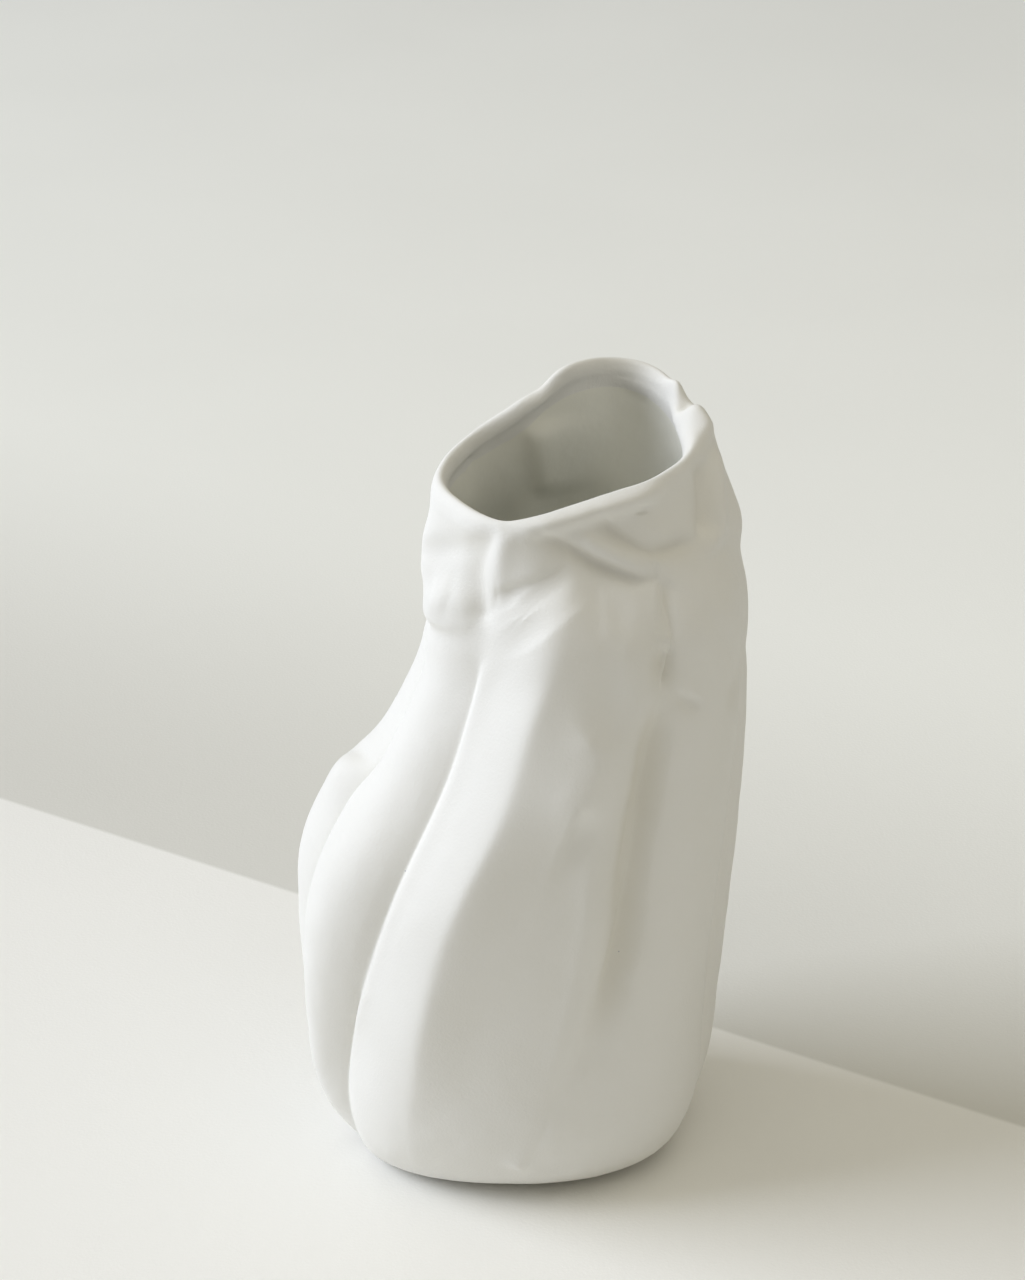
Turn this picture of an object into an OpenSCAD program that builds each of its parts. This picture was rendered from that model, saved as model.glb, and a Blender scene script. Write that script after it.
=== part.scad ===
// Hand-built ceramic vase: slabs of clay pressed into lobes, gathered by a folded collar
// into a leaning mouth with a rolled lip, and glazed inside so that it holds water.
// The origin is the centre of the foot on the table, +Z is up and -Y is the front.

/* [Vase] */
// Height from the table to the top of the highest part of the rim
vase_height = 310; // [260:1:350]
// Width of the belly from side to side
belly_width = 171; // [150:1:192]
// Depth of the belly from front to back
belly_depth = 154; // [136:1:172]
// Width of the opening inside the lip
mouth_width = 82; // [74:1:90]
// How much lower the lowest part of the rim lies than the highest
mouth_drop = 28; // [14:1:34]
// Width of the flat base from side to side
base_width = 116; // [100:1:126]
// Depth of the flat base from front to back
base_depth = 90; // [80:1:106]
// Height over which the body rounds in to its base
base_rounding = 42; // [32:1:54]

/* [Clay] */
// Thickness of the wall
wall = 5; // [3.8:0.2:5.6]
// Thickness of the slab that closes the bottom
floor_thickness = 6; // [4:0.5:9]
// Width of the rolled lip
lip_width = 6.5; // [6:0.5:9]
// Height of the rolled lip
lip_height = 6.5; // [5:0.5:9]
// Depth of the deepest crease between two lobes
crease_depth = 12; // [6:0.5:15]
// Height of the folds pressed into the collar
fold_height = 3; // [1:0.25:4]
// Width of the folds pressed into the collar
fold_width = 6; // [5:0.5:9]
// How far the knot of the collar stands out beside the lip
knot_height = 9; // [5:0.5:11]
// Width of the knot
knot_width = 13; // [10:1:16]

/* [Foot] */
// Clay that the base shows outside the ring that the vase stands on
foot_margin = 4; // [2:0.5:7]
// Width of the ring's flat face
foot_ring_width = 8; // [5:0.5:14]
// Height of the ring
foot_height = 2.5; // [1.5:0.25:4]

/* [Glaze] */
// Thickness of the glaze inside
glaze = 0.4; // [0.2:0.1:0.8]
// Bare clay left between the glaze and the lip
glaze_stop = 3; // [2:0.5:6]

/* [Colours] */
// Colour of the bare clay
clay_colour = [0.93, 0.92, 0.88];
// Colour of the clay where it was cut and joined
joint_colour = [0.86, 0.84, 0.79];
// Colour of the glaze
glaze_colour = [0.80, 0.79, 0.72];

/* [Hidden] */
LOBES = [
    "lobe_right", "lobe_back_right", "lobe_back", "lobe_back_left", "lobe_left",
    "lobe_front_left", "lobe_front_ridge", "lobe_front", "lobe_front_right"
];
COLLARS = ["collar_right", "collar_back", "collar_left", "collar_front"];

lobe_count = len(LOBES);
lobe_columns = 10;
columns = lobe_count * lobe_columns;
base_rows = 8;
body_rows = 40;
rows = 56;
lip_steps = 8;

// First and last crease that each piece of the collar lies between
collar_creases = [[8, 10], [1, 4], [4, 6], [6, 8]];

floor_top = foot_height + floor_thickness;
wall_height = vase_height - lip_height - foot_height;
bead_overhang = lip_width - wall;
half_width = belly_width / 2;
half_depth = belly_depth / 2;

// Heights at which the tables below give the shape, as shares of the wall's height
level_share = [0, 0.14, 0.3, 0.44, 0.58, 0.7, 0.82, 0.92, 1];

// Way that the middle of the body leans, as shares of the half width
lean_x_share = [0, 0, 0, 0.05, 0.2, 0.3, 0.31, 0.29, 0.25];
lean_y_share = [0, 0, 0, 0, 0, 0, 0.01, 0.02, 0.03];

// Directions of the creases at each height, in degrees from the right-hand side
crease_angle = [
    [-10, 32, 75, 115, 152, 184, 200, 232, 270],
    [-10, 32, 75, 115, 152, 186, 206, 239, 280],
    [-10, 32, 75, 115, 152, 188, 219, 246, 294],
    [-10, 32, 75, 115, 152, 190, 227, 250, 303],
    [-10, 32, 75, 115, 152, 189, 226, 254, 302],
    [-10, 32, 75, 115, 152, 186, 224, 254, 300],
    [-10, 32, 75, 115, 152, 188, 228, 262, 306],
    [-10, 32, 75, 115, 152, 190, 234, 266, 308],
    [-10, 32, 75, 115, 152, 190, 238, 270, 308]
];

// Reach of each lobe's crown at each height, as shares of the belly's ellipse
crown_share = [
    [0.92, 0.92, 0.92, 0.92, 0.92, 0.90, 0.90, 0.90, 0.92],
    [0.96, 0.96, 0.96, 0.96, 0.97, 0.97, 0.97, 0.97, 0.95],
    [1.01, 1.01, 1.00, 1.00, 1.01, 1.02, 1.03, 1.03, 0.98],
    [1.00, 0.98, 0.97, 0.98, 1.00, 1.00, 1.02, 1.02, 0.96],
    [0.86, 0.86, 0.86, 0.85, 0.80, 0.83, 0.90, 0.90, 0.84],
    [0.76, 0.76, 0.76, 0.76, 0.72, 0.73, 0.82, 0.82, 0.75],
    [0.73, 0.73, 0.72, 0.72, 0.71, 0.74, 0.77, 0.77, 0.73],
    [0.71, 0.70, 0.68, 0.68, 0.67, 0.72, 0.70, 0.70, 0.71],
    [0.68, 0.66, 0.64, 0.64, 0.64, 0.66, 0.66, 0.66, 0.68]
];

// Depth of each crease at each height, as shares of the deepest
crease_share = [
    [0.2, 0.2, 0.2, 0.2, 0.3, 0.4, 0.5, 0.0, 0.0],
    [0.5, 0.6, 0.6, 0.6, 0.6, 0.8, 0.9, 0.0, 0.15],
    [0.7, 0.8, 0.7, 0.8, 0.8, 1.0, 1.0, 0.0, 0.7],
    [0.6, 0.8, 0.7, 0.8, 0.8, 0.9, 1.0, 0.0, 0.7],
    [0.4, 0.6, 0.6, 0.7, 0.7, 0.7, 0.9, 0.0, 0.6],
    [0.3, 0.4, 0.4, 0.5, 0.5, 0.4, 0.7, 0.0, 0.5],
    [0.2, 0.2, 0.2, 0.3, 0.2, 0.2, 0.6, 0.0, 0.5],
    [0.1, 0.1, 0.1, 0.1, 0.1, 0.1, 0.5, 0.0, 0.2],
    [0.0, 0.0, 0.0, 0.0, 0.0, 0.0, 0.2, 0.0, 0.0]
];

// How steeply the lobes before and after each crease rise from it, from 0, a soft valley,
// to 1, a pinched line
before_sharp_share = [0.6, 0.8, 0.7, 0.8, 0.8, 0.7, 0.6, 0.0, 1.0];
after_sharp_share = [0.7, 0.8, 0.7, 0.8, 0.8, 0.9, 0.6, 0.0, 0.5];

// Where each lobe's crown lies between its two creases
crown_place_share = [0.5, 0.5, 0.5, 0.5, 0.5, 0.5, 0.8, 0.1, 0.5];

// How flat each lobe is pressed, from 0, fully round, to 1, straight from the bottom of its
// first crease to its far edge, the height share up to which the base keeps it round, and
// the share of its width over which it stays round at both edges
flat_share = [0, 0, 0, 0, 0, 0, 0.6, 0.75, 0];
flat_from_share = 0.3;
round_edge_share = 0.25;

// Height of the seam under the collar at each crease, as shares of the wall's height
seam_share = [0.70, 0.70, 0.72, 0.72, 0.74, 0.78, 0.81, 0.92, 0.89];

// How deep the seam is pressed in at each crease, as shares of the folds' height
press_share = [0.3, 0.3, 0.3, 0.3, 0.5, 0.9, 0.6, 0.4, 0.3];

// Every 30 degrees from the right-hand side: reach of the opening as shares of half its
// width, and how far the rim drops there, as shares of the drop
mouth_share = [1.00, 1.10, 1.36, 0.94, 0.84, 1.00, 1.10, 1.06, 1.06, 0.82, 0.75, 0.82];
drop_share = [0.6, 0.4, 0.1, 0.0, 0.4, 0.75, 0.95, 1.0, 1.0, 0.85, 0.75, 0.7];

// Height shares above which the section takes the mouth's outline, and above which the
// wall follows the rim's ups and downs
mouth_from_share = 0.8;
drop_from_share = 0.64;

// Folds of the collar: direction and height share of both ends, width and push as shares
// of the folds' sizes
folds = [
    [262, 0.97, 304, 0.91, 0.8, -0.7],
    [268, 0.99, 312, 0.93, 0.8, 0.6],
    [281, 0.99, 325, 0.94, 0.8, -0.5],
    [236, 0.88, 256, 0.89, 0.8, -0.5],
    [205, 0.87, 214, 0.88, 1.3, 0.6],
    [301, 0.87, 299, 0.80, 0.8, -0.7],
    [336, 0.97, 342, 0.86, 1.0, 0.6]
];

// The knot, a fold that stands up beside the lip: direction and height share of both ends
knot_line = [26, 1, 7, 0.93];

function mix(a, b, t) = a + (b - a) * t;
function smooth(t) = let (s = min(1, max(0, t))) s * s * (3 - 2 * s);
function hermite(p, m, q, n, t) =
    let (t2 = t * t, t3 = t2 * t)
    p * (2 * t3 - 3 * t2 + 1) + m * (t3 - 2 * t2 + t) + q * (3 * t2 - 2 * t3) + n * (t3 - t2);

// Slope of a table at entry k
function slope(table, k) =
    let (a = max(0, k - 1), b = min(len(table) - 1, k + 1))
    (table[b] - table[a]) / (level_share[b] - level_share[a]);

// A table's entry, or its row of entries, at any height
function at_level(table, level) =
    let (
        below = len([for (s = level_share) if (s <= level) s]),
        k = min(len(level_share) - 2, max(0, below - 1)),
        gap = level_share[k + 1] - level_share[k],
        t = (level - level_share[k]) / gap
    )
    hermite(table[k], slope(table, k) * gap, table[k + 1], slope(table, k + 1) * gap, t);

// A ring table's entry in any direction
function at_angle(table, angle) =
    let (
        n = len(table),
        place = (angle + 720) * n / 360,
        k = floor(place),
        t = place - k,
        a = table[(k - 1) % n],
        b = table[k % n],
        c = table[(k + 1) % n],
        d = table[(k + 2) % n]
    )
    hermite(b, (c - a) / 2, c, (d - b) / 2, t);

// Crease k's direction in a row of the table, also past the last crease
function wrapped(angles, k) = angles[k % lobe_count] + (k >= lobe_count ? 360 : 0);

// A crease table's entry between the two creases that a column lies between
function at_column(table, column) =
    let (k = floor(column / lobe_columns))
    mix(table[k % lobe_count], table[(k + 1) % lobe_count], smooth(across(column)));

// Distance from the middle to the plain oval of the belly
function oval(angle) =
    1 / sqrt(pow(cos(angle) / half_width, 2) + pow(sin(angle) / half_depth, 2));

// Distance from the middle to the edge of the base, an oval with blunt corners
function base_reach(angle) =
    1 / pow(
        pow(abs(cos(angle)) * 2 / base_width, 3) + pow(abs(sin(angle)) * 2 / base_depth, 3),
        1 / 3
    );

// Rise from a crease, at 0, to a lobe's crown, at 1
function arch(w, sharp) = mix(pow(sin(90 * w), 2), sqrt(w * (2 - w)), sharp);

// Share of the way across its lobe at which a column lies: columns crowd at the creases
function across(column) = (1 - cos(180 * (column % lobe_columns) / lobe_columns)) / 2;

function column_angle(column, level) =
    let (angles = at_level(crease_angle, level), k = floor(column / lobe_columns))
    mix(wrapped(angles, k), wrapped(angles, k + 1), across(column));

// Height share of a row: crowded where the base rounds in, then even to the seam and
// through the collar, with the last two rows on the bare clay above the glaze
function row_level(row, column) =
    let (
        round_to = base_rounding / wall_height,
        seam = at_column(seam_share, column),
        stop = 1 - glaze_stop / wall_height
    )
    row <= base_rows ? round_to * (1 - cos(90 * row / base_rows))
    : row <= body_rows ? mix(round_to, seam, (row - base_rows) / (body_rows - base_rows))
    : row <= rows - 2 ? mix(seam, stop, (row - body_rows) / (rows - 2 - body_rows))
    : mix(stop, 1, (row - rows + 2) / 2);

// Reach of the edge that a lobe starts at, and of the crease that is pressed in along it
function edge_reach(lobe, level) =
    let (
        before = (lobe + lobe_count - 1) % lobe_count,
        crowns = at_level(crown_share, level),
        angle = at_level(crease_angle, level)[lobe]
    )
    (crowns[before] + crowns[lobe]) / 2 * oval(angle);
function crease_reach(lobe, level) =
    edge_reach(lobe, level) - at_level(crease_share, level)[lobe] * crease_depth;

// Reach of the straight line between two points that are given by their reach and angle
function chord_reach(start, start_angle, end, end_angle, angle) =
    start * end * sin(end_angle - start_angle)
    / (start * sin(angle - start_angle) + end * sin(end_angle - angle));

// Lobed section's reach: from each crease up to the crown, then down to the next crease
function lobed_reach(column, level, angle, sharpness) =
    let (
        k = floor(column / lobe_columns),
        lobe = k % lobe_count,
        next = (lobe + 1) % lobe_count,
        angles = at_level(crease_angle, level),
        crown = at_level(crown_share, level)[lobe] * oval(angle),
        u = across(column),
        place = crown_place_share[lobe],
        rising = u < place,
        w = rising ? u / place : (1 - u) / (1 - place),
        sharp = sharpness * (rising ? after_sharp_share[lobe] : before_sharp_share[next]),
        round = mix(crease_reach(rising ? lobe : next, level), crown, arch(w, sharp)),
        flat = chord_reach(
            crease_reach(lobe, level), wrapped(angles, k),
            edge_reach(next, level), wrapped(angles, k + 1), angle
        ),
        inside = smooth(min(u, 1 - u) / round_edge_share)
    )
    mix(round, flat, flat_share[lobe] * smooth(level / flat_from_share) * inside);

function mouth_reach(angle) = at_angle(mouth_share, angle) * mouth_width / 2;

// How far the wall draws in towards the base, from 0 at the base to 1 above the rounding
function base_draw(level) =
    let (s = min(1, level * wall_height / base_rounding))
    sqrt(s * (2 - s));

// How far the wall has taken on the mouth's outline, and the rim's ups and downs
function gathered(level) = smooth((level - mouth_from_share) / (1 - mouth_from_share));
function dropped(level) = smooth((level - drop_from_share) / (1 - drop_from_share));

function level_z(level, angle) =
    foot_height + level * wall_height
    - mouth_drop * at_angle(drop_share, angle) * dropped(level);

// Place on the unrolled wall, used to measure how far a point lies from a line on it
function unrolled(angle, level) = [
    ((angle + 540) % 360 - 180) * PI / 180 * half_depth * 0.8,
    level * wall_height
];

// How much a line pressed into the wall is felt at a place: 1 on the line, fading beside it
function felt(line, width, angle, level) =
    let (
        at = unrolled(angle - line[0], level),
        a = unrolled(0, line[1]),
        b = unrolled(line[2] - line[0], line[3]),
        t = min(1, max(0, (at - a) * (b - a) / ((b - a) * (b - a)))),
        off = norm(at - mix(a, b, t)) / width
    )
    off > 3 ? 0 : exp(-off * off);

// Push of all the folds and of the pressed seam on the outside of the wall
function pushed(column, level, angle) =
    let (
        seam_off = (level - at_column(seam_share, column)) * wall_height / fold_width,
        pushes = [for (fold = folds) fold[5] * felt(fold, fold[4] * fold_width, angle, level)]
    )
    fold_height * (
        pushes * [for (p = pushes) 1]
        - at_column(press_share, column) * exp(-seam_off * seam_off)
    );

function knot_push(angle, level) = knot_height * felt(knot_line, knot_width, angle, level);

function place(angle, reach, level, z) = [
    at_level(lean_x_share, level) * half_width + reach * cos(angle),
    at_level(lean_y_share, level) * half_width + reach * sin(angle),
    z
];

function outer_point(column, row) =
    let (
        level = row_level(row, column),
        angle = column_angle(column, level),
        lobed = lobed_reach(column, level, angle, 1),
        full = mix(base_reach(angle), lobed, base_draw(level)),
        fading = gathered(level),
        reach = mix(full, mouth_reach(angle) + lip_width, fading)
            + pushed(column, level, angle) * (1 - pow(fading, 6)) + knot_push(angle, level)
    )
    place(angle, reach, level, level_z(level, angle));

function inner_point(column, row) =
    let (
        level = row_level(row, column),
        angle = column_angle(column, level),
        lobed = lobed_reach(column, level, angle, 0),
        full = mix(base_reach(angle), lobed, base_draw(level)) - wall,
        reach = mix(full, mouth_reach(angle) + bead_overhang, gathered(level)),
        on_floor = floor_thickness * (1 - smooth(level * wall_height / base_rounding))
    )
    place(angle, reach, level, level_z(level, angle) + on_floor);

// Edge of the slab, below the inner wall's lowest row
function slab_point(column) =
    let (angle = column_angle(column, 0), reach = base_reach(angle) - wall)
    [reach * cos(angle), reach * sin(angle)];

outer = [for (row = [0 : rows]) [for (c = [0 : columns - 1]) outer_point(c, row)]];
inner = [for (row = [0 : 2 : rows]) [for (c = [0 : 2 : columns - 1]) inner_point(c, row)]];

// Entry of a ring in any turn
function ring(points, c) = points[(c + 2 * len(points)) % len(points)];

// Both triangles of one patch of a grid that is "across" points wide, seen from outside
function patch(start, width, r, c, next) = [
    [start + r * width + c, start + (r + 1) * width + c, start + (r + 1) * width + next],
    [start + r * width + c, start + (r + 1) * width + next, start + r * width + next]
];

function grid_faces(start, width, height) =
    [for (r = [0 : height - 2]) for (c = [0 : width - 2]) each patch(start, width, r, c, c + 1)];

function tube_faces(start, width, height) =
    [for (r = [0 : height - 2]) for (c = [0 : width - 1])
        each patch(start, width, r, c, (c + 1) % width)];

// Strip between a line of corners and a line with half as many
function strip_faces(fine, coarse) =
    [for (i = [0 : len(coarse) - 2]) each [
        [coarse[i], fine[2 * i + 1], fine[2 * i]],
        [coarse[i], coarse[i + 1], fine[2 * i + 1]],
        [coarse[i + 1], fine[2 * i + 2], fine[2 * i + 1]]
    ]];

function flipped(faces) = [for (f = faces) [for (i = [len(f) - 1 : -1 : 0]) f[i]]];

// Piece of the wall between two creases and two rows; a piece that starts at the bottom
// also stands on the plane of the slab's underside
module wall_piece(first_crease, last_crease, first_row, last_row) {
    first = first_crease * lobe_columns;
    last = last_crease * lobe_columns;
    width = last - first + 1;
    height = last_row - first_row + 1;
    half = (width + 1) / 2;
    half_height = (height + 1) / 2;
    stands = first_row == 0;
    outside = [for (r = [first_row : last_row]) for (c = [first : last]) ring(outer[r], c)];
    inside = [for (r = [first_row / 2 : last_row / 2]) for (c = [first / 2 : last / 2])
        ring(inner[r], c)];
    under = stands ? [for (c = [first : 2 : last]) [each slab_point(c), foot_height]] : [];
    behind = len(outside);
    below = behind + len(inside);
    start_side = strip_faces(
        [for (r = [0 : height - 1]) r * width],
        [for (r = [0 : half_height - 1]) behind + r * half]
    );
    end_side = strip_faces(
        [for (r = [0 : height - 1]) r * width + width - 1],
        [for (r = [0 : half_height - 1]) behind + r * half + half - 1]
    );
    top = strip_faces(
        [for (c = [0 : width - 1]) (height - 1) * width + c],
        [for (c = [0 : half - 1]) behind + (half_height - 1) * half + c]
    );
    bottom = strip_faces(
        [for (c = [0 : width - 1]) c],
        [for (c = [0 : half - 1]) (stands ? below : behind) + c]
    );
    foot = stands ? [
        [below, behind, 0],
        [below + half - 1, width - 1, behind + half - 1],
        for (c = [0 : half - 2]) [behind + c, below + c, below + c + 1, behind + c + 1]
    ] : [];
    polyhedron(
        concat(outside, inside, under),
        concat(
            grid_faces(0, width, height), flipped(grid_faces(behind, half, half_height)),
            start_side, flipped(end_side), top, flipped(bottom), foot
        )
    );
}

module lobe_piece(k) {
    color(clay_colour) wall_piece(k, k + 1, 0, body_rows);
}

module collar_piece(k) {
    color(clay_colour)
        wall_piece(collar_creases[k][0], collar_creases[k][1], body_rows, rows);
}

module floor_slab() {
    color(joint_colour)
        translate([0, 0, foot_height])
            linear_extrude(floor_thickness)
                polygon([for (c = [0 : 2 : columns - 1]) slab_point(c)]);
}

// Base's outline, drawn in by a distance
module base_outline(inset) {
    polygon([for (a = [0 : 6 : 354]) (base_reach(a) - inset) * [cos(a), sin(a)]]);
}

module foot_ring() {
    color(joint_colour)
        linear_extrude(foot_height)
            difference() {
                base_outline(wall + foot_margin);
                base_outline(wall + foot_margin + foot_ring_width);
            }
}

// Point on the lip's arch, from the collar's outer edge at 0 over to the bead inside
function lip_point(column, step) =
    let (
        angle = column_angle(column, 1),
        turn = 180 * step / lip_steps,
        width = lip_width + knot_push(angle, 1),
        reach = mouth_reach(angle) + width / 2 * (1 + cos(turn))
    )
    place(angle, reach, 1, level_z(1, angle) + lip_height * sin(turn));

module rim_coil() {
    ledge = (lip_steps + 1) * columns;
    fine = [for (c = [0 : columns]) c % columns];
    coarse = [for (c = [0 : columns / 2]) ledge + c % (columns / 2)];
    color(clay_colour)
        polyhedron(
            concat(
                outer[rows],
                [for (s = [1 : lip_steps]) for (c = [0 : columns - 1]) lip_point(c, s)],
                inner[rows / 2]
            ),
            concat(
                tube_faces(0, columns, lip_steps + 1),
                strip_faces([for (c = fine) lip_steps * columns + c], coarse),
                flipped(strip_faces(fine, coarse))
            )
        );
}

module glaze_lining() {
    turns = rows / 2 - 1;
    width = columns / 2;
    glazed = [for (r = [0 : turns]) each inner[r]];
    surface = [for (r = [0 : turns]) for (c = [0 : width - 1]) glaze_point(c, r)];
    behind = len(glazed);
    last = turns * width;
    color(glaze_colour)
        polyhedron(
            concat(glazed, surface),
            concat(
                tube_faces(0, width, turns + 1), flipped(tube_faces(behind, width, turns + 1)),
                [for (c = [0 : width - 1]) let (n = (c + 1) % width)
                    [last + c, behind + last + c, behind + last + n, last + n]],
                [[for (c = [0 : width - 1]) c]],
                [[for (c = [width - 1 : -1 : 0]) behind + c]]
            )
        );
}

// Point on the glaze's surface, off the inner wall and off the floor
function glaze_point(c, r) =
    let (
        at = inner[r][c],
        level = row_level(2 * r, 2 * c),
        angle = column_angle(2 * c, level),
        lift = glaze * (1 - min(1, 2 * r / base_rows))
    )
    at - glaze * [cos(angle), sin(angle), 0] + [0, 0, lift];

foot_ring();
floor_slab();
for (k = [0 : lobe_count - 1])
    lobe_piece(k);
for (k = [0 : len(COLLARS) - 1])
    collar_piece(k);
rim_coil();
glaze_lining();
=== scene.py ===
"""Looks of a hand-built white ceramic vase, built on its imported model. Lengths are in metres."""

import collections
import math

import bpy
import numpy as np
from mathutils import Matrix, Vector, kdtree


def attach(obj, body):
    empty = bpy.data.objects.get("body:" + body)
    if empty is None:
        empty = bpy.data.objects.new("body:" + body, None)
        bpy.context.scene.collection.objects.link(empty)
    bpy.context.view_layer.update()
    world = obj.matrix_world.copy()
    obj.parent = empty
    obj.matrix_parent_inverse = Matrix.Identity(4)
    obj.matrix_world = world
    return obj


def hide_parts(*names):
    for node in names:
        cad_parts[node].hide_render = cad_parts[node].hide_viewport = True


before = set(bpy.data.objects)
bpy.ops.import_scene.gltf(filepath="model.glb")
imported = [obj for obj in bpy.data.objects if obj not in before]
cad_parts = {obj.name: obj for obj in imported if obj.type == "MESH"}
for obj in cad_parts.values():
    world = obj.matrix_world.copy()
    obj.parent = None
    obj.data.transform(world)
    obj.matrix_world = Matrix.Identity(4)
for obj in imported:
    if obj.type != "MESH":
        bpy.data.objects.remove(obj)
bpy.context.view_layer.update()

# The camera stands in front of the vase, 1.3 m away and above it, and looks down at it. It has
# a long lens, and its aim is on the vase's axis, above the belly.
PHOTO_WIDTH, PHOTO_HEIGHT = 1025, 1280
SENSOR = 36
LENS = 96.7
LOOK_DOWN = math.radians(26)
DISTANCE = 1.3
AIM = Vector((0, 0, 0.2157))
forward = Vector((0, math.cos(LOOK_DOWN), -math.sin(LOOK_DOWN)))
eye = AIM - DISTANCE * forward
bpy.ops.object.select_all(action="DESELECT")
bpy.ops.object.camera_add(location=eye, rotation=(math.pi / 2 - LOOK_DOWN, 0, 0))
camera = bpy.context.object
camera.data.sensor_width = SENSOR
camera.data.lens = LENS
bpy.context.scene.camera = camera

# The wall is nine lobes of rolled clay, luted together along their creases, with four folded
# pieces as a collar on top and a coil rolled over the cut edge as the lip. Fired, it is one
# skin, so the pieces are joined and the faces where they met go, with any flap that is left.
PIECES = {
    "lobed_body": [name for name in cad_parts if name.startswith("lobe_")],
    "folded_collar": [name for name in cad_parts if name.startswith("collar_")],
    "rolled_lip": ["rim_coil"],
}
MEETING = 0.00002
bpy.ops.object.select_all(action="DESELECT")
for piece, names in PIECES.items():
    mark = bpy.data.materials.new(piece)
    for name in names:
        clay = bpy.data.objects.new(piece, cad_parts[name].data.copy())
        bpy.context.collection.objects.link(clay)
        clay.data.materials.clear()
        clay.data.materials.append(mark)
        clay.select_set(True)
        bpy.context.view_layer.objects.active = clay
bpy.ops.object.join()
wall = bpy.context.object
wall.name = "wall"
bpy.ops.mesh.customdata_custom_splitnormals_clear()

bpy.ops.object.mode_set(mode="EDIT")
bpy.ops.mesh.select_mode(type="FACE")
bpy.ops.mesh.select_all(action="DESELECT")
bpy.ops.object.mode_set(mode="OBJECT")
centres = [tuple(round(x / MEETING) for x in face.center) for face in wall.data.polygons]
count = collections.Counter(centres)
wall.data.polygons.foreach_set("select", [count[centre] > 1 for centre in centres])
bpy.ops.object.mode_set(mode="EDIT")
bpy.ops.mesh.delete(type="FACE")
bpy.ops.mesh.select_all(action="SELECT")
bpy.ops.mesh.remove_doubles(threshold=MEETING)
bpy.ops.mesh.select_all(action="DESELECT")
bpy.ops.object.mode_set(mode="OBJECT")
uses = collections.Counter(loop.edge_index for loop in wall.data.loops)
loose = [uses[loop.edge_index] == 1 for loop in wall.data.loops]
flaps = [any(loose[k] for k in face.loop_indices) for face in wall.data.polygons]
wall.data.polygons.foreach_set("select", flaps)
bpy.ops.object.mode_set(mode="EDIT")
bpy.ops.mesh.delete(type="FACE")
bpy.ops.mesh.select_all(action="SELECT")
bpy.ops.mesh.tris_convert_to_quads(face_threshold=math.pi, shape_threshold=math.pi)
bpy.ops.object.mode_set(mode="OBJECT")

# Some of its points keep a name for later: those that the glaze wets, those on the slab's edge
# and those on the seams between body, collar and lip.
touching = collections.defaultdict(set)
for face in wall.data.polygons:
    for k in face.vertices:
        touching[k].add(wall.data.materials[face.material_index].name)
SEAMS = {
    "lower_seam": {"lobed_body", "folded_collar"},
    "upper_seam": {"folded_collar", "rolled_lip"},
}
named = {
    name: [k for k, marks in touching.items() if pair <= marks] for name, pair in SEAMS.items()
}
for name, node in (("glazed", "glaze_lining"), ("slab_edge", "floor_slab")):
    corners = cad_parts[node].data.vertices
    tree = kdtree.KDTree(len(corners))
    for corner in corners:
        tree.insert(corner.co, corner.index)
    tree.balance()
    named[name] = [v.index for v in wall.data.vertices if tree.find(v.co)[2] < MEETING]
for name, found in named.items():
    wall.vertex_groups.new(name=name).add(found, 1, "REPLACE")


def in_group(piece, name):
    """For each point of a piece, whether it is wholly in a group."""
    group = piece.vertex_groups[name].index
    wholly = 0.99
    return [any(g.group == group and g.weight > wholly for g in v.groups) for v in piece.data.vertices]


def select_group(piece, name):
    """Select the points that are wholly in one group, and nothing else, in edit mode."""
    bpy.ops.mesh.select_mode(type="VERT")
    bpy.ops.mesh.select_all(action="DESELECT")
    bpy.ops.object.mode_set(mode="OBJECT")
    piece.data.vertices.foreach_set("select", in_group(piece, name))
    bpy.ops.object.mode_set(mode="EDIT")


# The mesh gets four times finer each way, which also rounds the creases as a wet finger does.
# The edge along the slab stays sharp. The hands that pressed the clay left it a little uneven.
HAND_MARK_SIZE = 0.03
HAND_MARK_HEIGHT = 0.0012
bpy.ops.object.mode_set(mode="EDIT")
select_group(wall, "slab_edge")
bpy.ops.transform.edge_crease(value=1)
bpy.ops.object.mode_set(mode="OBJECT")
smooth = wall.modifiers.new("Smooth", "SUBSURF")
smooth.levels = smooth.render_levels = 2
bpy.ops.object.modifier_apply(modifier=smooth.name)
bpy.ops.object.shade_smooth()
hands = bpy.data.textures.new("hand_marks", "CLOUDS")
hands.noise_scale = HAND_MARK_SIZE
uneven = wall.modifiers.new("Uneven", "DISPLACE")
uneven.texture = hands
uneven.texture_coords = "LOCAL"
uneven.strength = HAND_MARK_HEIGHT
bpy.ops.object.modifier_apply(modifier=uneven.name)

# Fingers pressed folds, grooves and dimples into the clay. Each is a line or a spot, given in pixels of the
# photograph, that is pushed into, or out of, the skin that shows there.
MM = 0.001
FOCAL = LENS / SENSOR * PHOTO_HEIGHT


def look(eye, forward):
    """Where each point of the skin is, and at which pixel and how squarely an eye sees it."""
    points = np.empty(3 * len(wall.data.vertices))
    normals = np.empty_like(points)
    wall.data.vertices.foreach_get("co", points)
    wall.data.vertices.foreach_get("normal", normals)
    points = points.reshape(-1, 3)
    normals = normals.reshape(-1, 3)
    sight = points - np.array(eye)
    depth = sight @ np.array(forward)
    across = forward.cross(Vector((0, 0, 1))).normalized()
    right = PHOTO_WIDTH / 2 + FOCAL * (sight @ np.array(across)) / depth
    down = PHOTO_HEIGHT / 2 - FOCAL * (sight @ np.array(across.cross(forward))) / depth
    facing = -(sight * normals).sum(axis=1) / np.linalg.norm(sight, axis=1)
    return points, normals, depth, np.stack([right, down], axis=1), facing


def eased(t):
    """Soft ramp from 0 to 1."""
    t = np.clip(t, 0, 1)
    return t * t * (3 - 2 * t)


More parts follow.
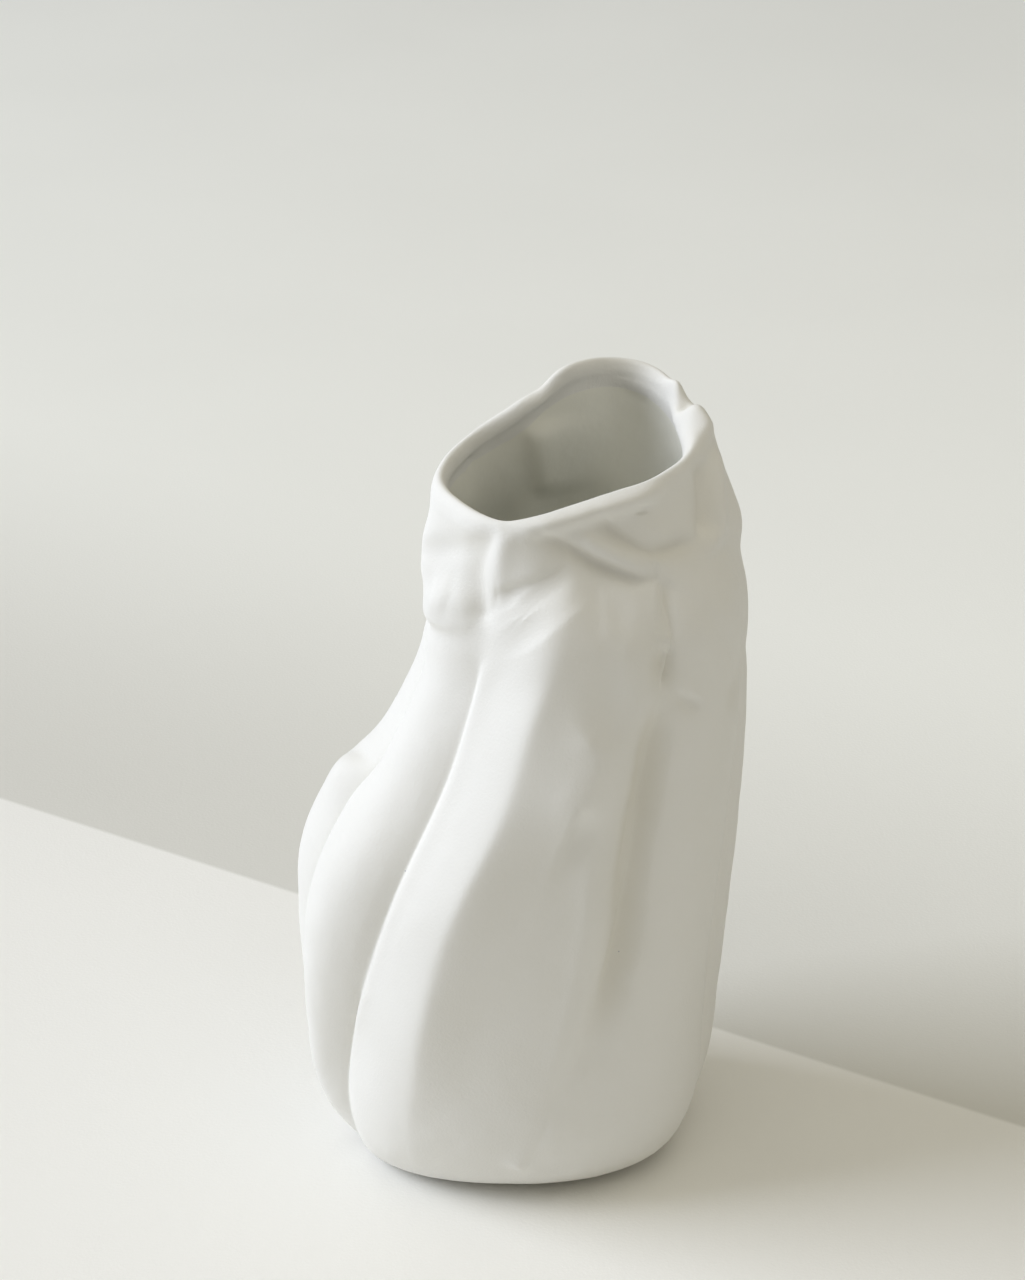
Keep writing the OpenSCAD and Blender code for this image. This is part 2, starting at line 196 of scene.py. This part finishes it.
def curve(corners, steps=8):
    """Points of a smooth line through the corners, in pixels of the photograph."""
    corners = np.array(corners, float)
    ends = np.vstack([2 * corners[0] - corners[1], corners, 2 * corners[-1] - corners[-2]])
    line = []
    for a, b, c, d in zip(ends, ends[1:], ends[2:], ends[3:]):
        for t in np.arange(steps) / steps:
            slope = (c - a) / 2
            bend = a - 2.5 * b + 2 * c - d / 2
            twist = 1.5 * (b - c) + (d - a) / 2
            line.append(b + t * (slope + t * (bend + t * twist)))
    return np.array(line + [corners[-1]])


def away(at, line):
    """How far pixels are from a line, on which side, and at which share of its length."""
    best = np.full(len(at), np.inf)
    side = np.zeros(len(at))
    share = np.full(len(at), 0.5)
    if len(line) == 1:
        return np.linalg.norm(at - line[0], axis=1), side, share
    run = np.linalg.norm(np.diff(line, axis=0), axis=1)
    for k in range(len(line) - 1):
        way = line[k + 1] - line[k]
        t = np.clip((at - line[k]) @ way / (way @ way), 0, 1)
        gap = at - line[k] - t[:, None] * way
        far = np.linalg.norm(gap, axis=1)
        closer = far < best
        best[closer] = far[closer]
        side[closer] = (way[0] * gap[:, 1] - way[1] * gap[:, 0])[closer]
        share[closer] = ((run[:k].sum() + t * run[k]) / run.sum())[closer]
    return best, side, share


def rub(lines, strokes, front=True):
    """Smooth the clay along some lines, on the front half or all over.

    Each line has its own reach: the smoothing is full up to three quarters of it and fades to
    nothing at one and a half of it.
    """
    points, _, _, seen_at, _ = look(eye, forward)
    soft = np.zeros(len(points))
    for corners, reach in lines:
        far = away(seen_at, curve(corners))[0] * PIXEL
        soft = np.maximum(soft, eased(2 - 1.3 * far / reach))
    if front:
        soft *= points[:, 1] < 0
    rubbed = wall.vertex_groups.new(name="rubbed")
    for k in np.flatnonzero(soft > 0.01):
        rubbed.add([int(k)], soft[k], "REPLACE")
    finger = wall.modifiers.new("Wet finger", "SMOOTH")
    finger.vertex_group = rubbed.name
    finger.iterations = strokes
    finger.factor = 0.6
    bpy.ops.object.modifier_apply(modifier=finger.name)
    wall.vertex_groups.remove(wall.vertex_groups["rubbed"])


# A wet finger first rubbed out the creases that don't show in the fired vase. The strokes then
# push the way that the clay around them faces, so that a deep one doesn't fold over.
PIXEL = DISTANCE / FOCAL
SPREAD = 30
BLOCK_FOOT = [(486, 640), (510, 634), (535, 617), (572, 585)]
KNUCKLE_FOOT = [(420, 636), (448, 652), (470, 655), (488, 646)]
rub([(BLOCK_FOOT, 10 * MM)], 90)
rub([(KNUCKLE_FOOT, 5 * MM), ([(497, 530), (486, 560), (488, 620)], 4 * MM)], 40)
points, normals, depth, seen_at, facing = look(eye, forward)
edges = np.empty(2 * len(wall.data.edges), dtype=int)
wall.data.edges.foreach_get("vertices", edges)
one, other = edges.reshape(-1, 2).T


def around(values):
    """The sum of a value over the neighbours of each point."""
    return np.bincount(one, values[other], len(points)) + np.bincount(other, values[one], len(points))


for _ in range(SPREAD):
    normals = np.stack([around(normals[:, k]) for k in range(3)], axis=1)
    normals /= np.linalg.norm(normals, axis=1)[:, None]
NECK_MIDDLE = 0.025
LEAN_START, LEAN_RISE = 0.13, 0.1
SQUARE_ON = 0.3
leaning = NECK_MIDDLE * np.clip((points[:, 2] - LEAN_START) / LEAN_RISE, 0, 1)
outward = normals[:, 0] * (points[:, 0] - leaning) + normals[:, 1] * points[:, 1] > 0
showing = np.clip(facing / SQUARE_ON, 0, 1) * outward
inside = np.clip(facing / SQUARE_ON, 0, 1) * ~outward
behind = np.clip(-facing / SQUARE_ON, 0, 1) * ~outward
shift = np.zeros_like(points)


def press(corners, height, left, right=None, ends=0.25, power=2, skin=showing):
    """Push a line out of the clay, or into it where the height is below zero.

    Its two flanks, to the left and right of the way that the line is drawn, have their own
    widths, and it fades over a share of its length at both ends. A power of 1 gives a crest.
    """
    line = curve(corners) if len(corners) > 1 else np.array(corners, float)
    reach = 3 * max(left, right or left) / PIXEL
    low, high = line.min(axis=0) - reach, line.max(axis=0) + reach
    near = np.all((seen_at > low) & (seen_at < high), axis=1) & (skin > 0)
    best, side, share = away(seen_at[near], line)
    width = np.where(side < 0, left, right or left)
    fade = eased(share / ends) * eased((1 - share) / ends) if len(line) > 1 and ends else 1
    push = height * fade * np.exp(-((best * PIXEL / width) ** power)) * skin[near]
    shift[near] += push[:, None] * normals[near]


def pull(corner, way, reach):
    """Take hold of the clay at a pixel and draw all that is within reach along."""
    pinch = 6
    near = (np.linalg.norm(seen_at - np.array(corner), axis=1) < pinch) & (facing > 0)
    grip = points[near][np.argmin(depth[near])]
    hold = np.exp(-((points - grip) ** 2).sum(axis=1) / reach**2)
    shift[:] += hold[:, None] * np.array(way)


# Left side of the collar: the knuckle, with a valley above it and a soft edge below
press([(424, 556), (445, 550), (468, 548), (482, 552)], -1.3 * MM, 5 * MM)
press([(436, 590), (450, 594)], 0.8 * MM, 8 * MM)
COLLAR_CREASE = [(497, 522), (486, 545), (479, 570), (482, 600), (488, 640)]
press(COLLAR_CREASE, -2.2 * MM, 3 * MM, 5 * MM)
press([(508, 526), (503, 550), (499, 580), (500, 600)], 1.0 * MM, 4 * MM, 3 * MM)

# Front of the collar: two draped folds, and the block that stands out below them
UPPER_FOLD = [(588, 505), (605, 525), (627, 541), (645, 549), (662, 549), (687, 541), (712, 540)]
LOWER_FOLD = [(525, 527), (548, 537), (572, 549), (595, 562), (620, 572), (645, 580), (666, 580)]
press(UPPER_FOLD, -2.4 * MM, 2.2 * MM, 4.2 * MM)
press([(570, 528), (600, 548), (630, 563), (655, 572)], 2.6 * MM, 3.6 * MM)
press(LOWER_FOLD, -2.6 * MM, 2.0 * MM, 4.0 * MM)
press([(640, 503), (642, 515)], -0.9 * MM, 2.6 * MM)
press([(652, 530)], 1.0 * MM, 5 * MM)
LIP_ROLL = [(505, 531), (535, 528), (565, 520), (600, 510), (640, 497), (676, 480)]
press(LIP_ROLL, 3.2 * MM, 3 * MM, 4 * MM)
press([(495, 597), (520, 588), (545, 580), (572, 569)], -1.8 * MM, 2.6 * MM, 5.0 * MM)
press([(488, 638), (512, 630), (534, 617), (560, 596)], 4.2 * MM, 7 * MM, 5 * MM, ends=0.4)
BLOCK = [(596, 568), (574, 588), (558, 612), (549, 645), (541, 690)]
press(BLOCK, 7.0 * MM, 14 * MM, 15 * MM, ends=0.4, power=1)
press([(549, 645), (541, 680), (535, 720), (528, 760)], 1.5 * MM, 5 * MM, 9 * MM)
press([(497, 624), (518, 621), (538, 626)], -0.6 * MM, 2.2 * MM)
press([(601, 585), (605, 610), (605, 650)], 0.4 * MM, 4 * MM, 1.5 * MM)

# Right side of the collar: the line down to the pocket, the small fold and the far ridge
press([(665, 575), (665, 610), (664, 645)], -1.6 * MM, 3.6 * MM, 1.8 * MM)
press([(663, 656), (664, 674)], -5.0 * MM, 3.2 * MM, ends=0)
press([(665, 687), (680, 696), (705, 708)], -1.7 * MM, 1.8 * MM, 4 * MM)
press([(712, 440), (716, 490), (716, 530), (706, 562)], 3.6 * MM, 2.4 * MM, 3.0 * MM)
press([(700, 455), (703, 500), (701, 545)], -2.4 * MM, 2.4 * MM)

# Body: the front ridge's crest, the dimples and the bump beside it, and the groove along its own crest
FRONT_CREST = [
    (560, 600), (535, 650), (527, 700), (524, 750), (505, 820),
    (482, 860), (458, 920), (435, 980), (410, 1040), (396, 1100),
]
press(FRONT_CREST, 0.8 * MM, 7 * MM, 11 * MM, ends=0.12)
press([(514, 716), (535, 722), (555, 732)], -0.7 * MM, 2.2 * MM)
press([(553, 731)], -0.6 * MM, 2.6 * MM)
press([(592, 750), (590, 770), (582, 795)], 7.0 * MM, 9 * MM, 20 * MM, ends=0)
GROOVE_CREST = [
    (650, 625), (640, 680), (627, 750), (612, 820), (604, 860),
    (602, 920), (590, 980), (576, 1040), (556, 1110),
]
press(GROOVE_CREST, 2.2 * MM, 3.5 * MM, 6 * MM, ends=0.15)
GROOVE = [(662, 690), (654, 740), (646, 790), (638, 830), (630, 880), (626, 925), (612, 980), (594, 1045)]
press(GROOVE, -8.0 * MM, 4 * MM, 3.4 * MM, ends=0.2)
press(GROOVE, 4.0 * MM, 6 * MM, 6 * MM, ends=0.2, skin=behind)
press([(590, 1050), (562, 1110), (540, 1165)], 1.2 * MM, 4 * MM)
press([(362, 757)], -2.0 * MM, 4 * MM)

# Inside: the soft edge where the left of the neck meets its back
press([(533, 415), (540, 450), (548, 500)], 3.0 * MM, 14 * MM, 5 * MM, skin=inside)

# Outline: the neck's sides, the left shoulder, the waist, the base's lumps, the rim's bump, notch and knot
pull((432, 540), (-5.2 * MM, 0, 0), 11 * MM)
pull((430, 566), (-2.8 * MM, 0, 0), 8 * MM)
pull((426, 605), (-1.4 * MM, 0, 0), 8 * MM)
pull((340, 778), (-3.0 * MM, 0, 5.0 * MM), 14 * MM)
pull((741, 693), (-2.0 * MM, 0, 0), 7 * MM)
pull((740, 530), (2.0 * MM, 0, 0), 9 * MM)
pull((522, 1166), (0, -0.8 * MM, -3.2 * MM), 4.5 * MM)
pull((548, 1170), (0, 0, 1.2 * MM), 3.5 * MM)
pull((583, 1168), (0, 0, -1.8 * MM), 6 * MM)
pull((548, 386), (0, 0, -2.5 * MM), 6 * MM)
pull((572, 364), (0, 0, 0.5 * MM), 6 * MM)
pull((666, 388), (1.2 * MM, 0, 3.2 * MM), 4.5 * MM)
pull((685, 400), (0, 0, -2.5 * MM), 3.5 * MM)
pull((699, 410), (0, -0.5 * MM, 4.5 * MM), 5.5 * MM)
pull((709, 422), (1.8 * MM, -0.5 * MM, 1.5 * MM), 4 * MM)

# Back: two draped folds and a pinch, placed by the pixels of the view from behind
back_forward = Vector((0, -math.cos(LOOK_DOWN), -math.sin(LOOK_DOWN)))
_, _, depth, seen_at, facing = look(AIM - DISTANCE * back_forward, back_forward)
from_back = np.clip(facing / SQUARE_ON, 0, 1) * outward
press([(300, 545), (360, 585), (430, 605), (500, 592)], -2.2 * MM, 2.4 * MM, 4.5 * MM, skin=from_back)
press([(350, 545), (420, 568), (490, 562)], 1.6 * MM, 4 * MM, skin=from_back)
press([(400, 472), (450, 505), (510, 514), (572, 492)], -2.0 * MM, 2.4 * MM, 4.5 * MM, skin=from_back)
press([(470, 612), (460, 680), (468, 770)], -1.4 * MM, 3 * MM, 6 * MM, skin=from_back)
press([(345, 705), (370, 712)], -0.9 * MM, 4 * MM, skin=from_back)
press([(540, 640)], 1.2 * MM, 9 * MM, skin=from_back)
press([(420, 900), (470, 915), (520, 905)], -0.6 * MM, 5 * MM, skin=from_back)

# How deep each point was pushed in, blurred a little, for the painted shade in the hollows
DEEPEST = 4 * MM
BLUR = 12
shade_depth = np.clip(-(shift * normals).sum(axis=1) / DEEPEST, 0, 1)
ties = around(np.ones(len(points)))
for _ in range(BLUR):
    shade_depth = around(shade_depth) / ties
wall.data.attributes.new("shade_depth", "FLOAT", "POINT").data.foreach_set("value", shade_depth)
points += shift
wall.data.vertices.foreach_set("co", points.ravel())
wall.data.update()

# The wet finger went over the crests and grooves once more, and round under the lip
BELLY_CREST = [(438, 970), (424, 1010), (406, 1050), (392, 1100)]
rub([(BELLY_CREST, 14 * MM)], 120)
RIDGE_CREST = [(550, 655), (541, 700), (531, 750), (514, 800), (495, 860), (474, 920), (452, 970)]
RIDGE_SIDE = [(486, 655), (467, 731), (448, 780), (418, 844), (388, 912), (366, 980)]
rub([(RIDGE_CREST, 12 * MM)], 110)
rub([(RIDGE_SIDE, 5 * MM)], 45)
rub([(BLOCK_FOOT, 6 * MM)], 260)
rub([(GROOVE, 4.5 * MM), (GROOVE_CREST, 4 * MM)], 80)
rub([(COLLAR_CREASE, 5 * MM), ([(662, 652), (665, 678)], 4 * MM)], 8)
rub([([(594, 676), (598, 716)], 7 * MM)], 50)
UNDER_LIP = [(474, 448), (513, 424), (538, 402), (566, 384), (609, 375), (645, 384), (670, 406), (677, 420)]
rub([(UNDER_LIP, 3 * MM)], 40, front=False)
rub([([(688, 404), (696, 422)], 5 * MM)], 6, front=False)

# The glaze lies on the clay as one thin, satin skin. It was poured in and out again, so it
# covers the slab too, and it was wiped off a little below the lip, where it thins out.
GLAZE = 0.15 * MM
THIN_SHARE = 0.1
bpy.ops.object.select_all(action="DESELECT")
wall.select_set(True)
bpy.context.view_layer.objects.active = wall
bpy.ops.object.duplicate()
glaze = bpy.context.object
glaze.name = "satin_glaze"
wet = in_group(glaze, "glazed")
bpy.ops.object.mode_set(mode="EDIT")
bpy.ops.mesh.select_mode(type="FACE")
bpy.ops.mesh.select_all(action="DESELECT")
bpy.ops.object.mode_set(mode="OBJECT")
dry = [not all(wet[k] for k in face.vertices) for face in glaze.data.polygons]
glaze.data.polygons.foreach_set("select", dry)
bpy.ops.object.mode_set(mode="EDIT")
bpy.ops.mesh.delete(type="FACE")
select_group(glaze, "slab_edge")
bpy.ops.mesh.edge_face_add()
bpy.ops.mesh.inset(thickness=4 * MM)
bpy.ops.mesh.select_all(action="SELECT")
bpy.ops.mesh.normals_make_consistent(inside=True)
bpy.ops.object.mode_set(mode="OBJECT")
uses = collections.Counter(loop.edge_index for loop in glaze.data.loops)
thin = {k for edge in glaze.data.edges if uses[edge.index] == 1 for k in edge.vertices}
full = [v.index for v in glaze.data.vertices if v.index not in thin]
glaze.vertex_groups.new(name="full").add(full, 1, "REPLACE")
thick = glaze.modifiers.new("Thick", "SOLIDIFY")
thick.thickness = GLAZE
thick.offset = 1
thick.vertex_group = "full"
thick.thickness_vertex_group = THIN_SHARE
bpy.ops.object.modifier_apply(modifier=thick.name)
bpy.ops.object.mode_set(mode="EDIT")
bpy.ops.mesh.select_mode(type="EDGE")
bpy.ops.mesh.select_all(action="DESELECT")
bpy.ops.mesh.edges_select_sharp(sharpness=math.radians(60))
bpy.ops.mesh.mark_sharp()
bpy.ops.object.mode_set(mode="OBJECT")
glaze.data.materials.clear()
satin = bpy.data.materials.new("satin_glaze")
satin.use_nodes = True
shader = satin.node_tree.nodes["Principled BSDF"]
shader.inputs["Coat Weight"].default_value = 0.15
shader.inputs["Coat Roughness"].default_value = 0.2


def vary(material, size, tones, gloss, wave, height):
    """Give a material soft patches of two tones and of gloss, and small waves of some height."""
    nodes = material.node_tree.nodes
    links = material.node_tree.links
    shader = nodes["Principled BSDF"]
    place = nodes.new("ShaderNodeTexCoord")
    patches = nodes.new("ShaderNodeTexNoise")
    patches.inputs["Scale"].default_value = 1 / size
    patches.inputs["Detail"].default_value = 3
    tone = nodes.new("ShaderNodeMix")
    tone.data_type = "RGBA"
    tone.inputs["A"].default_value = (*tones[0], 1)
    tone.inputs["B"].default_value = (*tones[1], 1)
    dull = nodes.new("ShaderNodeMapRange")
    dull.inputs["From Min"].default_value = 0.3
    dull.inputs["From Max"].default_value = 0.7
    dull.inputs["To Min"].default_value = gloss[0]
    dull.inputs["To Max"].default_value = gloss[1]
    grain = nodes.new("ShaderNodeTexNoise")
    grain.inputs["Scale"].default_value = 1 / wave
    grain.inputs["Detail"].default_value = 4
    bump = nodes.new("ShaderNodeBump")
    bump.inputs["Distance"].default_value = height
    links.new(place.outputs["Object"], patches.inputs["Vector"])
    links.new(place.outputs["Object"], grain.inputs["Vector"])
    links.new(patches.outputs["Fac"], tone.inputs["Factor"])
    links.new(patches.outputs["Fac"], dull.inputs["Value"])
    links.new(grain.outputs["Fac"], bump.inputs["Height"])
    links.new(dull.outputs["Result"], shader.inputs["Roughness"])
    links.new(bump.outputs["Normal"], shader.inputs["Normal"])
    links.new(tone.outputs["Result"], shader.inputs["Base Color"])
    return tone, place


vary(satin, 0.025, ((0.86, 0.85, 0.76), (0.90, 0.89, 0.81)), (0.28, 0.42), 0.006, 0.0002)
glaze.data.materials.append(satin)
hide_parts("glaze_lining")
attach(glaze, "root")

# Body, collar and lip come apart again along their seams. Each is closed where it was cut, and
# keeps the shading of the one skin that they are after firing.
skin = wall.data.attributes.new("skin", "FLOAT_VECTOR", "POINT")
normals = np.empty(3 * len(wall.data.vertices))
wall.data.vertices.foreach_get("normal", normals)
skin.data.foreach_set("vector", normals)
bpy.ops.object.select_all(action="DESELECT")
wall.select_set(True)
bpy.context.view_layer.objects.active = wall
bpy.ops.object.mode_set(mode="EDIT")
bpy.ops.mesh.select_all(action="SELECT")
bpy.ops.mesh.separate(type="MATERIAL")
bpy.ops.object.mode_set(mode="OBJECT")
clay = bpy.data.materials.new("clay")
clay.use_nodes = True
CLAY_TONES = ((0.845, 0.835, 0.79), (0.875, 0.865, 0.83))
tone, place = vary(clay, 0.03, CLAY_TONES, (0.6, 0.72), 0.0011, 0.00012)

# Painted shade: the pressed-in hollows are darkened and warmed, as the shade and bounce light in them, and
# a few dark grains show in the clay
HOLLOW_SHADE = (0.72, 0.69, 0.60, 1)
HOLLOW_SHADE_SHARE = 0.6
GRAIN = (0.50, 0.50, 0.52, 1)
GRAINS_PER_METRE = 250
GRAIN_SIZE = 0.09
WITHOUT_GRAIN = 0.992
nodes = clay.node_tree.nodes
links = clay.node_tree.links
shader = nodes["Principled BSDF"]
in_hollow = nodes.new("ShaderNodeAttribute")
in_hollow.attribute_name = "shade_depth"
share = nodes.new("ShaderNodeMath")
share.operation = "MULTIPLY"
share.inputs[1].default_value = HOLLOW_SHADE_SHARE
# Painted shade: the base colour is mixed towards a darker, warmer tone where the clay was pressed in
painted_shade = nodes.new("ShaderNodeMix")
painted_shade.data_type = "RGBA"
painted_shade.inputs["B"].default_value = HOLLOW_SHADE
cells = nodes.new("ShaderNodeTexVoronoi")
cells.inputs["Scale"].default_value = GRAINS_PER_METRE
small = nodes.new("ShaderNodeMath")
small.operation = "LESS_THAN"
small.inputs[1].default_value = GRAIN_SIZE
chosen = nodes.new("ShaderNodeSeparateColor")
rare = nodes.new("ShaderNodeMath")
rare.operation = "GREATER_THAN"
rare.inputs[1].default_value = WITHOUT_GRAIN
speck = nodes.new("ShaderNodeMath")
speck.operation = "MULTIPLY"
spotted = nodes.new("ShaderNodeMix")
spotted.data_type = "RGBA"
spotted.inputs["B"].default_value = GRAIN
links.new(in_hollow.outputs["Fac"], share.inputs[0])
links.new(share.outputs["Value"], painted_shade.inputs["Factor"])
links.new(tone.outputs["Result"], painted_shade.inputs["A"])
links.new(place.outputs["Object"], cells.inputs["Vector"])
links.new(cells.outputs["Distance"], small.inputs[0])
links.new(cells.outputs["Color"], chosen.inputs["Color"])
links.new(chosen.outputs["Red"], rare.inputs[0])
links.new(small.outputs["Value"], speck.inputs[0])
links.new(rare.outputs["Value"], speck.inputs[1])
links.new(speck.outputs["Value"], spotted.inputs["Factor"])
links.new(painted_shade.outputs["Result"], spotted.inputs["A"])
links.new(spotted.outputs["Result"], shader.inputs["Base Color"])
for piece in list(bpy.context.selected_objects):
    mesh = piece.data
    mark = mesh.materials[mesh.polygons[0].material_index].name
    cuts = [name for name, pair in SEAMS.items() if mark in pair]
    piece.name = mark
    bpy.context.view_layer.objects.active = piece
    bpy.ops.object.mode_set(mode="EDIT")
    for name in cuts:
        select_group(piece, name)
        bpy.ops.mesh.select_mode(type="EDGE")
        bpy.ops.object.mode_set(mode="OBJECT")
        uses = collections.Counter(loop.edge_index for loop in mesh.loops)
        for edge in mesh.edges:
            edge.select = edge.select and uses[edge.index] == 1
        bpy.ops.object.mode_set(mode="EDIT")
        bpy.ops.mesh.bridge_edge_loops()
    bpy.ops.mesh.select_all(action="SELECT")
    bpy.ops.mesh.normals_make_consistent(inside=False)
    bpy.ops.object.mode_set(mode="OBJECT")
    on_cut = {k for name in cuts for k, cut in enumerate(in_group(piece, name)) if cut}
    skin = [Vector(item.vector) for item in mesh.attributes["skin"].data]
    corner_normals = []
    for face in mesh.polygons:
        closing = on_cut.issuperset(face.vertices)
        corner_normals += [face.normal if closing else skin[k] for k in face.vertices]
    mesh.normals_split_custom_set(corner_normals)
    mesh.attributes.remove(mesh.attributes["skin"])
    mesh.materials.clear()
    mesh.materials.append(clay)
    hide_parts(*PIECES[mark])
    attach(piece, "root")

# The ring and the slab are bare clay.
bare = bpy.data.materials.new("bare_clay")
bare.use_nodes = True
vary(bare, 0.02, ((0.77, 0.75, 0.68), (0.83, 0.81, 0.76)), (0.75, 0.9), 0.0008, 0.0002)
for name in ("foot_ring", "floor_slab"):
    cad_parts[name].material_slots[0].material = bare

# The floor is a plain pale table top. Behind the vase it takes on the tone of a plain wall, with painted
# shade that darkens it towards its foot.
TABLE = ((0.95, 0.94, 0.90), (0.97, 0.96, 0.92))
WALL_FOOT_SHADE = (0.75, 0.74, 0.69, 1)
WALL = (0.97, 0.97, 0.92, 1)
WALL_LINE = ((-0.2438, 0.2686), (0.2067, -0.0085))
LINE_BLUR = 0.003
WALL_SHADE_FADE = 0.4
bpy.ops.object.select_all(action="DESELECT")
bpy.ops.mesh.primitive_plane_add(size=8)
floor = bpy.context.object
floor.name = "table_top"
table = bpy.data.materials.new("table_top")
table.use_nodes = True
tone, place = vary(table, 0.2, TABLE, (0.7, 0.85), 0.0015, 0.0001)
nodes = table.node_tree.nodes
links = table.node_tree.links
(x0, y0), (x1, y1) = WALL_LINE
across = Vector((y0 - y1, x1 - x0, 0)).normalized()
start = across.dot(Vector((x0, y0, 0)))
past = nodes.new("ShaderNodeVectorMath")
past.operation = "DOT_PRODUCT"
past.inputs[1].default_value = across
links.new(place.outputs["Object"], past.inputs[0])
steps = []
for width in (LINE_BLUR, WALL_SHADE_FADE):
    step = nodes.new("ShaderNodeMapRange")
    step.interpolation_type = "SMOOTHSTEP"
    step.inputs["From Min"].default_value = start
    step.inputs["From Max"].default_value = start + width
    links.new(past.outputs["Value"], step.inputs["Value"])
    steps.append(step.outputs["Result"])
# Painted shade: the wall's tone darkens towards the wall line
far = nodes.new("ShaderNodeMix")
far.data_type = "RGBA"
far.inputs["A"].default_value = WALL_FOOT_SHADE
far.inputs["B"].default_value = WALL
both = nodes.new("ShaderNodeMix")
both.data_type = "RGBA"
links.new(steps[1], far.inputs["Factor"])
links.new(steps[0], both.inputs["Factor"])
links.new(tone.outputs["Result"], both.inputs["A"])
links.new(far.outputs["Result"], both.inputs["B"])
links.new(both.outputs["Result"], nodes["Principled BSDF"].inputs["Base Color"])
floor.data.materials.append(table)

# One big soft window lights it from the left. A soft lamp above, a pale curtain on the right and
# the pale room around it fill the shade.
WINDOW_WAY = Vector((-0.87, 0.03, 0.55)).normalized()
bpy.ops.object.light_add(type="AREA", location=7 * WINDOW_WAY)
window = bpy.context.object
window.data.energy = 435
window.data.size = 4.6
window.data.color = (0.84, 0.89, 1.0)
window.rotation_euler = WINDOW_WAY.to_track_quat("Z", "Y").to_euler()
CURTAIN_WAY = Vector((0.9, -0.25, 0.35)).normalized()
bpy.ops.object.light_add(type="AREA", location=3 * CURTAIN_WAY)
curtain = bpy.context.object
curtain.data.energy = 8
curtain.data.size = 3
curtain.data.color = (1.0, 0.96, 0.86)
curtain.rotation_euler = CURTAIN_WAY.to_track_quat("Z", "Y").to_euler()
bpy.ops.object.light_add(type="AREA", location=(0.2, -0.3, 3))
ceiling = bpy.context.object
ceiling.data.energy = 28
ceiling.data.size = 3
ceiling.data.color = (1.0, 0.96, 0.83)
world = bpy.data.worlds.new("room")
bpy.context.scene.world = world
world.use_nodes = True
nodes = world.node_tree.nodes
links = world.node_tree.links
room = nodes["Background"]
room.inputs["Color"].default_value = (1.0, 0.955, 0.81, 1)
room.inputs["Strength"].default_value = 0.195
seen = nodes.new("ShaderNodeBackground")
seen.inputs["Color"].default_value = (0.68, 0.68, 0.63, 1)
ray = nodes.new("ShaderNodeLightPath")
either = nodes.new("ShaderNodeMixShader")
links.new(ray.outputs["Is Camera Ray"], either.inputs["Fac"])
links.new(room.outputs["Background"], either.inputs[1])
links.new(seen.outputs["Background"], either.inputs[2])
links.new(either.outputs["Shader"], nodes["World Output"].inputs["Surface"])
bpy.context.scene.view_settings.view_transform = "Standard"
